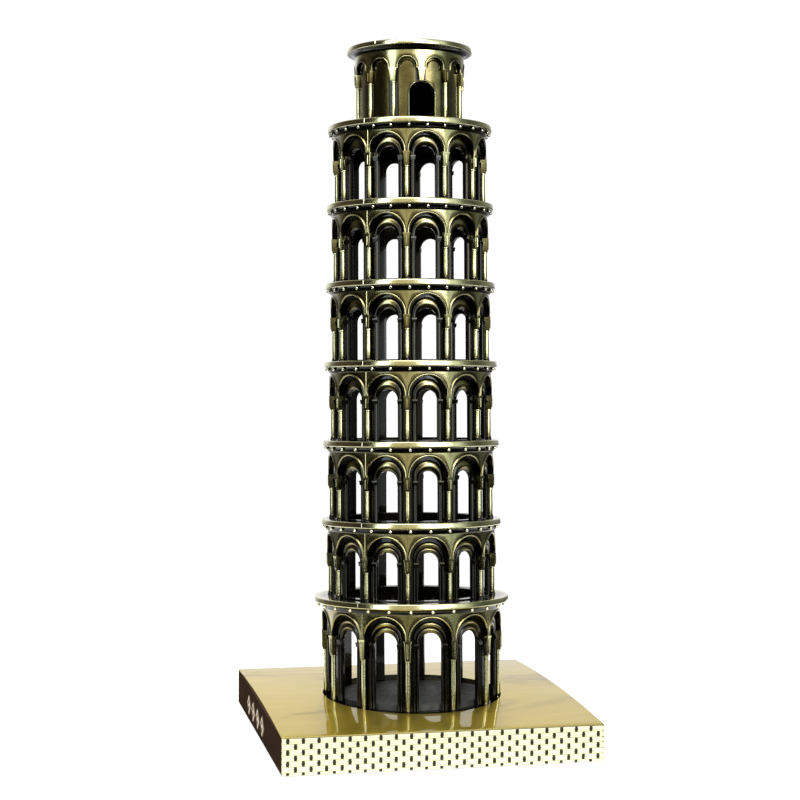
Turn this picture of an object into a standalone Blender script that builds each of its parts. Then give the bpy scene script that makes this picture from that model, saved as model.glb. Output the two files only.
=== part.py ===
"""Souvenir model of a leaning round bell tower on a square base.

The tower is a stack of castings: seven storeys of twelve open arches, a
gallery ring on top of each, and a narrower belfry with its cornice and roof.
It stands in a tilted seat in the base, held by three screws from below.
Lengths are metres. +Z is up, the front faces -Y and the tower leans to +Y.
"""
import math

import bmesh
import bpy
from mathutils import Matrix, Vector

MM = 0.001
FIT_GAP = 0.3 * MM

# Base casting.
BASE_SIDE = 80.0 * MM
BASE_EDGE_HEIGHT = 9.6 * MM
BASE_CROWN = 1.2 * MM
BASE_WALL = 2.4 * MM
BASE_FOOT = 0.3 * MM
BASE_CORNER_ROUNDING = 0.5 * MM
BASE_CROWN_STEPS = 8
HOLLOW_CEILING = 7.2 * MM
SEAT_PAD_RADIUS = 26.0 * MM
SEAT_PAD_UNDERSIDE = 4.6 * MM

# Closing plate and felt under the base.
FELT_THICKNESS = 1.0 * MM
PLATE_THICKNESS = 1.0 * MM
PLATE_SCREW_INSET = 6.9 * MM
CORNER_POST_RADIUS = 3.0 * MM

# Tower axis.
LEAN = math.radians(3.6)
FOOT_Y = -2.0 * MM
FOOT_Z = 8.85 * MM
GROUND_HEIGHT = 27.5 * MM
SECOND_HEIGHT = 19.9 * MM
STOREY_HEIGHT = 20.3 * MM
BELFRY_HEIGHT = 20.15 * MM
STOREYS = 7
BAYS = 12

# Walls and gallery lips. Above the ground storey both taper evenly.
GROUND_WALL_RADIUS = 23.1 * MM
SECOND_WALL_RADIUS = 21.7 * MM
WALL_TAPER = 0.4 * MM
GROUND_LIP_RADIUS = 25.2 * MM
SECOND_LIP_RADIUS = 23.3 * MM
LIP_TAPER = 0.39 * MM
WALL_THICKNESS = 2.6 * MM
LIP_THICKNESS = 1.5 * MM
LIP_ROUNDING = 0.4 * MM
SKIRT_DROP = 1.5 * MM
SKIRT_TOE = 0.45 * MM
SILL_HEIGHT = 0.9 * MM
SILL_WIDTH = 1.0 * MM

# Arches, measured across one bay. The outer order is wide and shallow, the
# inner one narrow, with its centre a little lower.
COLUMN_HALF_WIDTH = 0.85 * MM
ARCH_CROWN_BELOW_LIP = 3.9 * MM
GROUND_CROWN_BELOW_LIP = 3.8 * MM
OUTER_ORDER_DEPTH = 1.6 * MM
INNER_HALF_WIDTH = 2.6 * MM
GROUND_INNER_HALF_WIDTH = 2.9 * MM
INNER_CENTRE_DROP = 1.4 * MM
CAPITAL_HEIGHT = 3.5 * MM
GROUND_CAPITAL_HEIGHT = 5.2 * MM
CAPITAL_WIDTH = 2.1 * MM
CAPITAL_PROUD = 0.35 * MM
CAPITAL_TAPER = 0.7

# Belfry.
BELFRY_WALL_RADIUS = 14.2 * MM
BELFRY_WALL_THICKNESS = 2.8 * MM
CORNICE_RADIUS = 16.3 * MM
CORNICE_HEIGHT = 2.4 * MM
CORNICE_EDGE = 1.0 * MM
BLIND_ARCH_DEPTH = 0.8 * MM
BLIND_ARCH_HALF_WIDTH = 2.3 * MM
BLIND_ARCH_CROWN_BELOW_LIP = 3.9 * MM
BLIND_ARCH_SILL = 1.2 * MM
DOOR_HALF_WIDTH = 3.5 * MM
DOOR_HEIGHT = 10.0 * MM
ROOF_THICKNESS = 1.2 * MM
ROOF_RISE = 0.8 * MM
ROOF_BELOW_RIM = 0.9 * MM
ROOF_LEDGE = 0.4 * MM
ROOF_CREST_SHARE = 0.4

# Ground floor disc, the seat and the screws through it.
SEAT_CUT_HEIGHT = 10.0 * MM
SEAT_HOLE_DEPTH = 9.0 * MM
FLOOR_THICKNESS = 1.6 * MM
FLOOR_RECESS = 0.4 * MM
TOWER_SCREWS = 3
SCREW_CIRCLE = 12.0 * MM
SCREW_SHANK_RADIUS = 1.25 * MM
SCREW_HEAD_RADIUS = 2.4 * MM
SCREW_HEAD_HEIGHT = 1.3 * MM
SLOT_WIDTH = 0.6 * MM
SLOT_DEPTH = 0.5 * MM
PLATE_SHANK_RADIUS = 1.0 * MM
PLATE_HEAD_RADIUS = 1.9 * MM
PLATE_HEAD_HEIGHT = 0.6 * MM
PLATE_SHANK_LENGTH = 3.4 * MM

# Cutters reach this far past what they cut, and start this share of a bore from the axis.
OVERCUT = 1.0 * MM
THROUGH_CUT_START = 0.8

ROUND_STEPS = 30
WALL_STEPS = 24
SMALL_STEPS = 12
ARCH_STEPS = 6
INNER_ARCH_STEPS = 4
MERGE = 0.000001
SMOOTH_ANGLE = math.radians(32)
FLAT_ANGLE = math.radians(0.5)
CORNER_ANGLE = math.radians(50)


def clear_scene():
    """Start from an empty scene."""
    for obj in list(bpy.data.objects):
        bpy.data.objects.remove(obj, do_unlink=True)


def new_collection(name):
    """A collection linked to the scene."""
    group = bpy.data.collections.new(name)
    bpy.context.scene.collection.children.link(group)
    return group


def metal(name, colour, roughness, metallic=1.0):
    """A Principled material with one colour."""
    made = bpy.data.materials.new(name)
    made.use_nodes = True
    shader = made.node_tree.nodes["Principled BSDF"]
    shader.inputs["Base Color"].default_value = (*colour, 1.0)
    shader.inputs["Roughness"].default_value = roughness
    shader.inputs["Metallic"].default_value = metallic
    return made


def add_object(name, mesh, group):
    """Link a mesh as an object."""
    obj = bpy.data.objects.new(name, mesh)
    group.objects.link(obj)
    return obj


def bake(obj):
    """Replace an object's mesh by the one its modifiers make."""
    bpy.context.view_layer.update()
    graph = bpy.context.evaluated_depsgraph_get()
    mesh = bpy.data.meshes.new_from_object(obj.evaluated_get(graph))
    obj.modifiers.clear()
    obj.data = mesh


def shade(obj, material):
    """Give the finished body its material and smooth round faces."""
    obj.data.materials.clear()
    obj.data.materials.append(material)
    obj.data.shade_smooth()
    obj.data.set_sharp_from_angle(angle=SMOOTH_ANGLE)


def boolean(obj, tool, operation="DIFFERENCE"):
    """Cut or join another closed mesh."""
    step = obj.modifiers.new(tool.name, "BOOLEAN")
    step.operation = operation
    step.solver = "EXACT"
    step.object = tool


def turned(name, profile, group, steps=ROUND_STEPS):
    """A body turned about Z from a closed (radius, height) profile.

    The profile runs down its outer side and back up its inner side.
    """
    shape = bmesh.new()
    points = [shape.verts.new((radius, 0.0, height)) for radius, height in profile]
    for start, end in zip(points, points[1:] + points[:1]):
        shape.edges.new((start, end))
    mesh = bpy.data.meshes.new(name)
    shape.to_mesh(mesh)
    shape.free()
    obj = add_object(name, mesh, group)
    screw = obj.modifiers.new("turn", "SCREW")
    screw.steps = steps
    screw.render_steps = steps
    screw.use_merge_vertices = True
    screw.merge_threshold = MERGE
    bake(obj)
    return obj


def disc(name, radius, low, high, group, steps=ROUND_STEPS, top_radius=None):
    """A closed cylinder or cone between two heights on Z."""
    shape = bmesh.new()
    bmesh.ops.create_cone(
        shape,
        cap_ends=True,
        segments=steps,
        radius1=radius,
        radius2=radius if top_radius is None else top_radius,
        depth=high - low,
        matrix=Matrix.Translation((0.0, 0.0, (low + high) / 2)),
    )
    mesh = bpy.data.meshes.new(name)
    shape.to_mesh(mesh)
    shape.free()
    return add_object(name, mesh, group)


def block(name, low, high, group):
    """A box between two corners."""
    size = Vector(high) - Vector(low)
    middle = (Vector(high) + Vector(low)) / 2
    shape = bmesh.new()
    bmesh.ops.create_cube(
        shape,
        size=1.0,
        matrix=Matrix.Translation(middle) @ Matrix.Diagonal((*size, 1.0)),
    )
    mesh = bpy.data.meshes.new(name)
    shape.to_mesh(mesh)
    shape.free()
    return add_object(name, mesh, group)


def prism(name, outline, near, far, group):
    """A flat (x, z) outline filled and extruded along -Y from near to far."""
    curve = bpy.data.curves.new(name, "CURVE")
    curve.dimensions = "2D"
    curve.fill_mode = "BOTH"
    curve.extrude = (far - near) / 2
    spline = curve.splines.new("POLY")
    spline.points.add(len(outline) - 1)
    for point, (across, height) in zip(spline.points, outline):
        point.co = (across, height, 0.0, 1.0)
    spline.use_cyclic_u = True
    flat = add_object(name + "_outline", curve, group)
    upright = Matrix.Rotation(math.pi / 2, 4, "X")
    flat.matrix_world = Matrix.Translation((0.0, -(near + far) / 2, 0.0)) @ upright
    bpy.context.view_layer.update()
    graph = bpy.context.evaluated_depsgraph_get()
    mesh = bpy.data.meshes.new_from_object(flat.evaluated_get(graph))
    mesh.transform(flat.matrix_world)
    bpy.data.objects.remove(flat, do_unlink=True)
    shape = bmesh.new()
    shape.from_mesh(mesh)
    bmesh.ops.remove_doubles(shape, verts=shape.verts, dist=MERGE)
    bmesh.ops.dissolve_limit(
        shape, angle_limit=FLAT_ANGLE, verts=shape.verts, edges=shape.edges
    )
    bmesh.ops.recalc_face_normals(shape, faces=shape.faces)
    shape.to_mesh(mesh)
    shape.free()
    return add_object(name, mesh, group)


def repeat_round(obj, count, start=0.0):
    """Copy a mesh evenly round Z inside its own object."""
    shape = bmesh.new()
    for index in range(count):
        piece = obj.data.copy()
        piece.transform(Matrix.Rotation(start + index * math.tau / count, 4, "Z"))
        shape.from_mesh(piece)
        bpy.data.meshes.remove(piece)
    shape.to_mesh(obj.data)
    shape.free()


def arch_outline(half_width, sill, spring, steps=ARCH_STEPS):
    """A round-headed opening: two jambs and a half circle above them."""
    arc = [math.pi * step / steps for step in range(steps + 1)]
    head = [(half_width * math.cos(a), spring + half_width * math.sin(a)) for a in arc]
    return [(half_width, sill), *head, (-half_width, sill)]


def hide(tool):
    """A cutter isn't part of the model."""
    tool.hide_render = True
    tool.display_type = "WIRE"


def wall_radius(storey):
    """Outer radius of the wall of storey 1 to 7, or 8 for the belfry."""
    if storey == 1:
        return GROUND_WALL_RADIUS
    if storey > STOREYS:
        return BELFRY_WALL_RADIUS
    return SECOND_WALL_RADIUS - (storey - 2) * WALL_TAPER


def bore_radius(storey):
    """Inner radius of a storey's wall."""
    thickness = BELFRY_WALL_THICKNESS if storey > STOREYS else WALL_THICKNESS
    return wall_radius(storey) - thickness


def lip_radius(storey):
    """Outer radius of the gallery ring on a storey."""
    if storey == 1:
        return GROUND_LIP_RADIUS
    return SECOND_LIP_RADIUS - (storey - 2) * LIP_TAPER


def lip_top(storey):
    """Height of a gallery's walking face above the foot, along the axis."""
    if storey == 0:
        return 0.0
    return GROUND_HEIGHT + (storey > 1) * SECOND_HEIGHT + max(0, storey - 2) * STOREY_HEIGHT


def make_capitals(name, storey, spring, height, group):
    """Tapered blocks, one on each column, under the springing of the arches."""
    front = wall_radius(storey) + CAPITAL_PROUD
    half = CAPITAL_WIDTH / 2
    toe = half * CAPITAL_TAPER
    outline = [(half, spring), (-half, spring), (-toe, spring - height), (toe, spring - height)]
    blocks = prism(name, outline, front - OUTER_ORDER_DEPTH, front, group)
    repeat_round(blocks, BAYS, math.pi / BAYS)
    return blocks


def make_storey(storey, parts, cutters, finish):
    """One storey's ring of twelve two-order arches."""
    ground = storey == 1
    outer = wall_radius(storey)
    inner = bore_radius(storey)
    low = lip_top(storey - 1) + (0.0 if ground else FIT_GAP)
    high = lip_top(storey) - LIP_THICKNESS - FIT_GAP
    name = f"storey_{storey}_arcade"
    profile = [(outer, high), (outer, low), (inner, low), (inner, high)]
    wall = turned(name, profile, parts, WALL_STEPS)

    half_pitch = outer * math.tan(math.pi / BAYS)
    opening = half_pitch - COLUMN_HALF_WIDTH
    crown_drop = GROUND_CROWN_BELOW_LIP if ground else ARCH_CROWN_BELOW_LIP
    spring = lip_top(storey) - crown_drop - opening
    narrow = GROUND_INNER_HALF_WIDTH if ground else INNER_HALF_WIDTH
    below = low - OVERCUT
    wide_cut = prism(
        f"cut_outer_order_{storey}",
        arch_outline(opening, below, spring),
        outer - OUTER_ORDER_DEPTH,
        outer + OVERCUT,
        cutters,
    )
    narrow_cut = prism(
        f"cut_inner_order_{storey}",
        arch_outline(narrow, below, spring - INNER_CENTRE_DROP, INNER_ARCH_STEPS),
        inner * THROUGH_CUT_START,
        outer + 2 * OVERCUT,
        cutters,
    )
    for tool in (wide_cut, narrow_cut):
        repeat_round(tool, BAYS)
        hide(tool)
        boolean(wall, tool)
    height = GROUND_CAPITAL_HEIGHT if ground else CAPITAL_HEIGHT
    capitals = make_capitals(f"join_capitals_{storey}", storey, spring, height, cutters)
    hide(capitals)
    boolean(wall, capitals, "UNION")
    bake(wall)
    shade(wall, finish)
    return wall


def make_gallery_ring(storey, parts, finish):
    """Lip on a storey, with a skirt round its head and a sill for the next one."""
    top = lip_top(storey)
    rim = lip_radius(storey)
    under = top - LIP_THICKNESS
    skirt = wall_radius(storey) + FIT_GAP
    sill_out = bore_radius(storey + 1) - FIT_GAP
    sill_in = sill_out - SILL_WIDTH
    profile = [
        (rim - LIP_ROUNDING, top),
        (rim, top - LIP_ROUNDING),
        (rim, under + LIP_ROUNDING),
        (skirt + SKIRT_TOE, under - SKIRT_DROP),
        (skirt, under - SKIRT_DROP),
        (skirt, under),
        (sill_in, under),
        (sill_in, top + SILL_HEIGHT),
        (sill_out, top + SILL_HEIGHT),
        (sill_out, top),
    ]
    ring = turned(f"gallery_ring_{storey}", profile, parts)
    shade(ring, finish)
    return ring


def make_belfry(parts, cutters, finish):
    """Narrow drum with twelve blind arches and one doorway to the front."""
    base = lip_top(STOREYS)
    rim = base + BELFRY_HEIGHT
    low = base + FIT_GAP
    high = rim - CORNICE_HEIGHT - FIT_GAP
    outer = wall_radius(STOREYS + 1)
    inner = bore_radius(STOREYS + 1)
    profile = [(outer, high), (outer, low), (inner, low), (inner, high)]
    drum = turned("belfry_drum", profile, parts, WALL_STEPS)
    spring = rim - BLIND_ARCH_CROWN_BELOW_LIP - BLIND_ARCH_HALF_WIDTH
    blind = prism(
        "cut_blind_arches",
        arch_outline(BLIND_ARCH_HALF_WIDTH, base + BLIND_ARCH_SILL, spring),
        outer - BLIND_ARCH_DEPTH,
        outer + OVERCUT,
        cutters,
    )
    repeat_round(blind, BAYS, math.pi / BAYS)
    door_spring = base + DOOR_HEIGHT - DOOR_HALF_WIDTH
    door = prism(
        "cut_belfry_door",
        arch_outline(DOOR_HALF_WIDTH, base - OVERCUT, door_spring),
        inner * THROUGH_CUT_START,
        outer + 2 * OVERCUT,
        cutters,
    )
    for tool in (blind, door):
        hide(tool)
        boolean(drum, tool)
    bake(drum)
    shade(drum, finish)

    under = rim - CORNICE_HEIGHT
    profile = [
        (CORNICE_RADIUS - LIP_ROUNDING, rim),
        (CORNICE_RADIUS, rim - LIP_ROUNDING),
        (CORNICE_RADIUS, rim - CORNICE_EDGE),
        (outer + SKIRT_TOE, under),
        (inner, under),
        (inner, rim - ROOF_BELOW_RIM - ROOF_THICKNESS),
        (outer - FIT_GAP, rim - ROOF_BELOW_RIM - ROOF_THICKNESS),
        (outer - FIT_GAP, rim),
    ]
    cornice = turned("belfry_cornice", profile, parts)
    shade(cornice, finish)

    roof_low = rim - ROOF_BELOW_RIM - ROOF_THICKNESS + FIT_GAP
    roof_high = roof_low + ROOF_THICKNESS - ROOF_RISE
    edge = outer - 2 * FIT_GAP
    roof = disc("belfry_roof", edge, roof_low, roof_high, parts)
    crown = disc("join_roof_crown", edge - ROOF_LEDGE, (roof_low + roof_high) / 2,
                 roof_high + ROOF_RISE, cutters, top_radius=edge * ROOF_CREST_SHARE)
    hide(crown)
    boolean(roof, crown, "UNION")
    bake(roof)
    shade(roof, finish)
    return [drum, cornice, roof]


def tower_screw_places():
    """Screw positions on the foot, in the tower's own frame."""
    angles = [math.pi / 2 + index * math.tau / TOWER_SCREWS for index in range(TOWER_SCREWS)]
    return [Vector((SCREW_CIRCLE * math.cos(a), SCREW_CIRCLE * math.sin(a), 0.0)) for a in angles]


def make_floor(parts, cutters, finish):
    """Dark disc that closes the foot and takes the three screws."""
    radius = bore_radius(1) - FIT_GAP
    floor = disc("ground_floor_disc", radius, FIT_GAP, FIT_GAP + FLOOR_THICKNESS, parts)
    for index, place in enumerate(tower_screw_places(), 1):
        hole = disc(f"cut_floor_hole_{index}", SCREW_SHANK_RADIUS + FIT_GAP,
                    -OVERCUT, FIT_GAP + FLOOR_THICKNESS - FLOOR_RECESS, cutters, SMALL_STEPS)
        hole.data.transform(Matrix.Translation(place))
        hide(hole)
        boolean(floor, hole)
    bake(floor)
    shade(floor, finish)
    return floor


def slotted_screw(name, head_radius, head_height, shank_radius, shank_length, group, cutters):
    """A screw seen from below: its head hangs under z = 0, its shank rises."""
    profile = [
        (0.0, shank_length),
        (shank_radius, shank_length),
        (shank_radius, 0.0),
        (head_radius, 0.0),
        (head_radius, -head_height),
        (0.0, -head_height),
    ]
    screw = turned(name, profile, group, SMALL_STEPS)
    slot = block(
        "cut_slot_" + name,
        (-2 * head_radius, -SLOT_WIDTH / 2, -head_height - SLOT_DEPTH),
        (2 * head_radius, SLOT_WIDTH / 2, -head_height + SLOT_DEPTH),
        cutters,
    )
    hide(slot)
    boolean(screw, slot)
    bake(screw)
    return screw


def make_base(frame, parts, cutters, finish):
    """Hollow square casting with a crowned top and a tilted seat for the tower."""
    half = BASE_SIDE / 2
    top = []
    for step in range(BASE_CROWN_STEPS + 1):
        along = -half + BASE_SIDE * step / BASE_CROWN_STEPS
        top.append((along, BASE_EDGE_HEIGHT + BASE_CROWN * (1 - (along / half) ** 2)))
    outline = [(half, BASE_FOOT), *reversed(top), (-half, BASE_FOOT)]
    shell = prism("base_shell", outline, -half, half, parts)
    shell.data.transform(Matrix.Rotation(math.pi / 2, 4, "Z"))
    bevel = shell.modifiers.new("corners", "BEVEL")
    bevel.width = BASE_CORNER_ROUNDING
    bevel.segments = 1
    bevel.limit_method = "ANGLE"
    bevel.angle_limit = CORNER_ANGLE
    bake(shell)

    rim = half - BASE_WALL
    hollow = block("cut_hollow", (-rim, -rim, -OVERCUT), (rim, rim, HOLLOW_CEILING), cutters)
    pad = disc("keep_seat_pad", SEAT_PAD_RADIUS, SEAT_PAD_UNDERSIDE,
               HOLLOW_CEILING + OVERCUT, cutters)
    hide(pad)
    boolean(hollow, pad)
    for index, (x, y) in enumerate(plate_screw_places(), 1):
        post = disc(f"keep_post_{index}", CORNER_POST_RADIUS,
                    FELT_THICKNESS + PLATE_THICKNESS + FIT_GAP,
                    HOLLOW_CEILING + OVERCUT, cutters, SMALL_STEPS)
        post.data.transform(Matrix.Translation((x, y, 0.0)))
        hide(post)
        boolean(hollow, post)
    bake(hollow)
    hide(hollow)
    boolean(shell, hollow)

    seat = disc("cut_seat", GROUND_WALL_RADIUS + FIT_GAP, -FIT_GAP, SEAT_CUT_HEIGHT, cutters)
    seat.data.transform(frame)
    hide(seat)
    boolean(shell, seat)
    for index, place in enumerate(tower_screw_places(), 1):
        hole = disc(f"cut_seat_hole_{index}", SCREW_SHANK_RADIUS + FIT_GAP,
                    -SEAT_HOLE_DEPTH, OVERCUT, cutters, SMALL_STEPS)
        hole.data.transform(frame @ Matrix.Translation(place))
        hide(hole)
        boolean(shell, hole)
    for index, (x, y) in enumerate(plate_screw_places(), 1):
        hole = disc(f"cut_post_hole_{index}", PLATE_SHANK_RADIUS + FIT_GAP,
                    0.0, FELT_THICKNESS + PLATE_THICKNESS + PLATE_SHANK_LENGTH, cutters, SMALL_STEPS)
        hole.data.transform(Matrix.Translation((x, y, 0.0)))
        hide(hole)
        boolean(shell, hole)
    bake(shell)
    shade(shell, finish)
    return shell


def plate_screw_places():
    """Corner positions of the closing plate's screws."""
    reach = BASE_SIDE / 2 - PLATE_SCREW_INSET
    return [(x * reach, y * reach) for x in (-1, 1) for y in (-1, 1)]


def make_underside(parts, cutters, plate_finish, felt_finish, screw_finish):
    """Closing plate inside the rim, its four screws, and the felt below it."""
    rim = BASE_SIDE / 2 - BASE_WALL - FIT_GAP
    low = FELT_THICKNESS
    high = low + PLATE_THICKNESS
    plate = block("base_closing_plate", (-rim, -rim, low), (rim, rim, high), parts)
    made = []
    for index, (x, y) in enumerate(plate_screw_places(), 1):
        hole = disc(f"cut_plate_hole_{index}", PLATE_SHANK_RADIUS + FIT_GAP,
                    0.0, 2 * high, cutters, SMALL_STEPS)
        hole.data.transform(Matrix.Translation((x, y, 0.0)))
        hide(hole)
        boolean(plate, hole)
        name = f"plate_screw_{index}"
        screw = slotted_screw(name, PLATE_HEAD_RADIUS, PLATE_HEAD_HEIGHT,
                              PLATE_SHANK_RADIUS, PLATE_SHANK_LENGTH, parts, cutters)
        screw.data.transform(Matrix.Translation((x, y, low - FIT_GAP)))
        shade(screw, screw_finish)
        made.append(screw)
    bake(plate)
    shade(plate, plate_finish)

    felt = block("base_felt", (-rim, -rim, 0.0), (rim, rim, low - FIT_GAP), parts)
    for index, (x, y) in enumerate(plate_screw_places(), 1):
        hole = disc(f"cut_felt_hole_{index}", PLATE_HEAD_RADIUS + 2 * FIT_GAP,
                    -OVERCUT, 2 * FELT_THICKNESS, cutters, SMALL_STEPS)
        hole.data.transform(Matrix.Translation((x, y, 0.0)))
        hide(hole)
        boolean(felt, hole)
    bake(felt)
    shade(felt, felt_finish)
    return [plate, felt, *made]


def make_tower_screws(frame, parts, cutters, finish):
    """Three screws up through the seat pad into the floor disc."""
    made = []
    for index, place in enumerate(tower_screw_places(), 1):
        world = frame @ place
        head_seat = (SEAT_PAD_UNDERSIDE - world.z) / math.cos(LEAN) - 2 * FIT_GAP
        length = FIT_GAP + FLOOR_THICKNESS - FLOOR_RECESS - FIT_GAP - head_seat
        screw = slotted_screw(f"tower_screw_{index}", SCREW_HEAD_RADIUS, SCREW_HEAD_HEIGHT,
                              SCREW_SHANK_RADIUS, length, parts, cutters)
        screw.data.transform(frame @ Matrix.Translation(place + Vector((0.0, 0.0, head_seat))))
        shade(screw, finish)
        made.append(screw)
    return made


def main():
    """Build every piece and place the tower on its leaning axis."""
    clear_scene()
    parts = new_collection("leaning_tower_souvenir")
    cutters = new_collection("cutters")
    brass = metal("antique_brass", (0.38, 0.31, 0.13), 0.35)
    bright = metal("polished_brass", (0.62, 0.55, 0.30), 0.2)
    dark = metal("dark_patina", (0.045, 0.045, 0.04), 0.5)
    steel = metal("zinc_steel", (0.5, 0.5, 0.5), 0.3)
    felt = metal("black_felt", (0.02, 0.02, 0.022), 0.95, 0.0)

    frame = Matrix.Translation((0.0, FOOT_Y, FOOT_Z)) @ Matrix.Rotation(-LEAN, 4, "X")
    axis = bpy.data.objects.new("tower_axis", None)
    parts.objects.link(axis)
    axis.matrix_world = frame

    make_base(frame, parts, cutters, bright)
    make_underside(parts, cutters, steel, felt, steel)
    make_tower_screws(frame, parts, cutters, steel)
    stack = [make_floor(parts, cutters, dark)]
    for storey in range(1, STOREYS + 1):
        stack.append(make_storey(storey, parts, cutters, brass))
        stack.append(make_gallery_ring(storey, parts, brass))
    stack += make_belfry(parts, cutters, brass)
    for piece in stack:
        piece.parent = axis


main()
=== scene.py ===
import math

import bmesh
import bpy
import numpy as np
from mathutils import Matrix, Vector


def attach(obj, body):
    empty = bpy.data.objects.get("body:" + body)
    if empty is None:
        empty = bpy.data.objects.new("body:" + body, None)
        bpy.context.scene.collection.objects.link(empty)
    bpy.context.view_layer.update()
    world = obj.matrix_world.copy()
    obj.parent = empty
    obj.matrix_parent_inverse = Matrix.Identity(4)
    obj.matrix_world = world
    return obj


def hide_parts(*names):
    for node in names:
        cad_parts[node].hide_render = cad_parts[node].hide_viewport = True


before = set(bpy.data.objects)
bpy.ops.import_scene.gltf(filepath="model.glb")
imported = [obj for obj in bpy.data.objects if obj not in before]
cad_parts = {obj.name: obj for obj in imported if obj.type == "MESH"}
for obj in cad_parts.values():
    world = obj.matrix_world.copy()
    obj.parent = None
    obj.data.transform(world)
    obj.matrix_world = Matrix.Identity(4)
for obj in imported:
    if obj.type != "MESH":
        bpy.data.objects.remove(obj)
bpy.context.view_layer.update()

# The tower souvenir's looks. +Z is up and the front faces -Y. Shapes are in millimetres until
# they are built, and tower pieces are made upright and then placed on the leaning axis.
# The studio is in metres.
MM = 0.001
LEAN = math.radians(3.6)
FOOT = Vector((0.0, -2.0, 8.85)) * MM
TOWER = Matrix.Translation(FOOT) @ Matrix.Rotation(-LEAN, 4, "X")

STOREYS = 7
BAYS = 12
BAY_ANGLE = math.tau / BAYS
BEADS = 28
GROUND_HEIGHT = 27.5
SECOND_HEIGHT = 19.9
STOREY_HEIGHT = 20.3
BELFRY_HEIGHT = 20.15
GROUND_RADIUS, GROUND_LIP = 23.1, 25.2
SECOND_RADIUS, SECOND_LIP = 21.7, 23.3
WALL_TAPER, LIP_TAPER = 0.40, 0.39
BELFRY_RADIUS = 14.2
WALL_THICKNESS = 2.6
BELFRY_THICKNESS = 2.8
LIP = 1.5
SKIRT_DROP = 1.5
ORDER_DEPTH = 1.6
GAP = 0.3
SEAM_ANGLE = math.radians(-45.0)
DOOR_TURN = math.radians(1.6)

BELFRY = STOREYS + 1
ARCH_STEPS = 24
JAMB_STEPS = 5
ROUND = 180


# ---------------- dimensions


def wall_radius(storey):
    """Outer radius of a storey's wall."""
    if storey == 1:
        return GROUND_RADIUS
    if storey == BELFRY:
        return BELFRY_RADIUS
    return SECOND_RADIUS - WALL_TAPER * (storey - 2)


def bore_radius(storey):
    """Inner radius of a storey's wall."""
    return wall_radius(storey) - (BELFRY_THICKNESS if storey == BELFRY else WALL_THICKNESS)


def lip_radius(storey):
    """Outer radius of the gallery on a storey."""
    return GROUND_LIP if storey == 1 else SECOND_LIP - LIP_TAPER * (storey - 2)


def lip_top(storey):
    """Height of a gallery's walking face along the tower's axis."""
    if storey == 0:
        return 0.0
    return GROUND_HEIGHT + (storey > 1) * SECOND_HEIGHT + max(0, storey - 2) * STOREY_HEIGHT


def belfry_rim():
    """Height of the belfry's upper rim."""
    return lip_top(STOREYS) + BELFRY_HEIGHT


# ---------------- mesh building


class Shape:
    """Vertices, faces and a wear value for each vertex: 0 is dark patina, 1 is bare metal. On the
    heads of the inner arch rings the value also holds a painted highlight.
    """

    def __init__(self):
        self.points = []
        self.faces = []
        self.wear_and_highlight = []

    def add(self, points, faces, wear_and_highlight):
        """Add a closed body or a patch. wear is one number or one for each point."""
        first = len(self.points)
        self.points += [tuple(p) for p in points]
        self.faces += [tuple(first + index for index in face) for face in faces]
        if np.isscalar(wear_and_highlight):
            wear_and_highlight = [wear_and_highlight] * len(points)
        self.wear_and_highlight += [float(value) for value in wear_and_highlight]

    def turned_copies(self, other, count, start=0.0):
        """Add copies of another shape evenly round Z."""
        flat = np.array(other.points)
        for index in range(count):
            angle = start + index * math.tau / count
            cos, sin = math.cos(angle), math.sin(angle)
            x = flat[:, 0] * cos - flat[:, 1] * sin
            y = flat[:, 0] * sin + flat[:, 1] * cos
            self.add(np.stack([x, y, flat[:, 2]], 1), other.faces, other.wear_and_highlight)

    def build(self, name, material, matrix=None, sharp=35.0):
        """Make the object in metres, weld what touches, and shade it smooth but for sharp edges."""
        weld = 2e-6
        mesh = bpy.data.meshes.new(name)
        mesh.from_pydata((np.array(self.points) * MM).tolist(), [], self.faces)
        layer = mesh.attributes.new("wear_and_highlight", "FLOAT", "POINT")
        layer.data.foreach_set("value", self.wear_and_highlight)
        work = bmesh.new()
        work.from_mesh(mesh)
        bmesh.ops.remove_doubles(work, verts=work.verts, dist=weld)
        bmesh.ops.dissolve_degenerate(work, edges=work.edges, dist=weld)
        bmesh.ops.recalc_face_normals(work, faces=work.faces)
        work.to_mesh(mesh)
        work.free()
        mesh.materials.append(material)
        mesh.shade_smooth()
        mesh.set_sharp_from_angle(angle=math.radians(sharp))
        obj = bpy.data.objects.new(name, mesh)
        bpy.context.scene.collection.objects.link(obj)
        if matrix is not None:
            obj.matrix_world = matrix
        return obj


def grid_faces(rows, columns, close_rows=False, close_columns=False):
    """Quads over a grid of points, row by row."""
    faces = []
    for row in range(rows if close_rows else rows - 1):
        here, above = row * columns, (row + 1) % rows * columns
        for place in range(columns if close_columns else columns - 1):
            beside = (place + 1) % columns
            faces.append((here + place, here + beside, above + beside, above + place))
    return faces


def capped_faces(rings, count):
    """Quads round a stack of closed rings, with a face over each end."""
    last = (rings - 1) * count
    ends = [tuple(reversed(range(count))), tuple(range(last, last + count))]
    return grid_faces(rings, count, False, True) + ends


def circle(radius, steps):
    """Points (x, y) round Z, from the front."""
    angles = [math.tau * step / steps for step in range(steps)]
    return [(radius * math.sin(angle), -radius * math.cos(angle)) for angle in angles]


def turned(profile, steps, centre=(0.0, 0.0)):
    """Points and wear of (radius, height, wear) points turned round an upright axis."""
    points = [(centre[0] + x, centre[1] + y, height)
              for radius, height, _ in profile for x, y in circle(radius, steps)]
    return points, [worn_and_highlit for _, _, worn_and_highlit in profile for _ in range(steps)]


def turn(shape, profile, steps=ROUND):
    """Turn a closed profile of (radius, height, wear) points round Z."""
    points, wear_and_highlight = turned(profile, steps)
    shape.add(points, grid_faces(len(profile), steps, True, True), wear_and_highlight)


def on_wall(across, height, radius):
    """A point across a bay's middle plane, on a cylinder of that radius."""
    return (across, -math.sqrt(max(radius * radius - across * across, 0.0)), height)


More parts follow.
